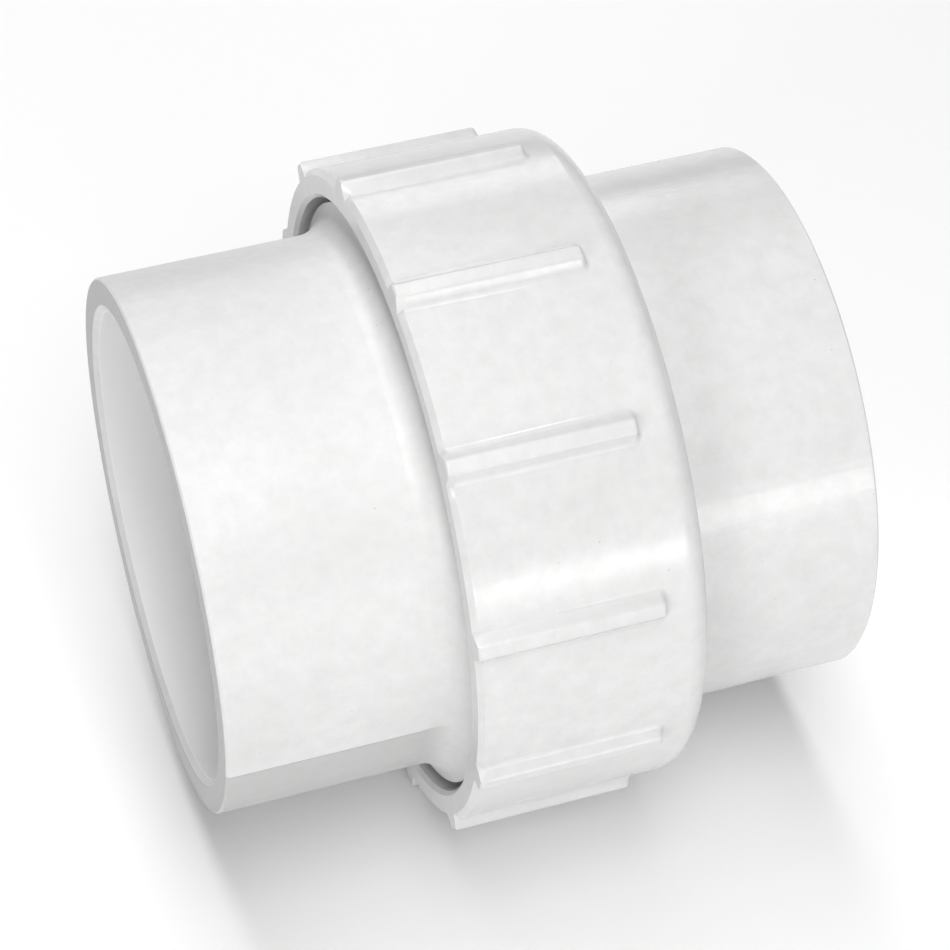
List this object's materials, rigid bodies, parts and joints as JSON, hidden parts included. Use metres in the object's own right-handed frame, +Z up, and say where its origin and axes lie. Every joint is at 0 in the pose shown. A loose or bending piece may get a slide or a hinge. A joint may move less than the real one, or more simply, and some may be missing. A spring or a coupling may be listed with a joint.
{
  "type": "pipe union",
  "caption": "Plastic pipe union: threaded body and tailpiece with plain pipe sockets, drawn together by a ribbed union nut over an O-ring seal.",
  "frame": {"origin": "on the pipe axis, midway between the two socket mouths of the closed union", "axes": "+X along the pipe axis from the threaded body to the tailpiece, +Z up with the union lying on two of the nut's ribs"},
  "size_m": [0.0842, 0.0852, 0.0852],
  "materials": {
    "rigid_plastic": "smooth moulded, semi-gloss white",
    "seal_rubber": "matt black"
  },
  "bodies": {
    "threaded_body": {"threaded_body": "rigid_plastic", "o_ring": "seal_rubber"},
    "tailpiece": {"tailpiece": "rigid_plastic"},
    "union_nut": {"union_nut": "rigid_plastic"}
  },
  "joints": [
    {"name": "tail_slide", "type": "slide", "parent": "threaded_body", "child": "tailpiece", "axis": [1, 0, 0], "range_m": [0, 0.0155]},
    {"name": "nut_turn", "type": "hinge", "parent": "tailpiece", "child": "union_nut", "pos_m": [0.00225, 0, 0], "axis": [1, 0, 0], "range_deg": [0, 1116]}
  ],
  "couplings": [
    {"joint": "tail_slide", "follows": "nut_turn", "m_per_rad": 0.00079577}
  ]
}
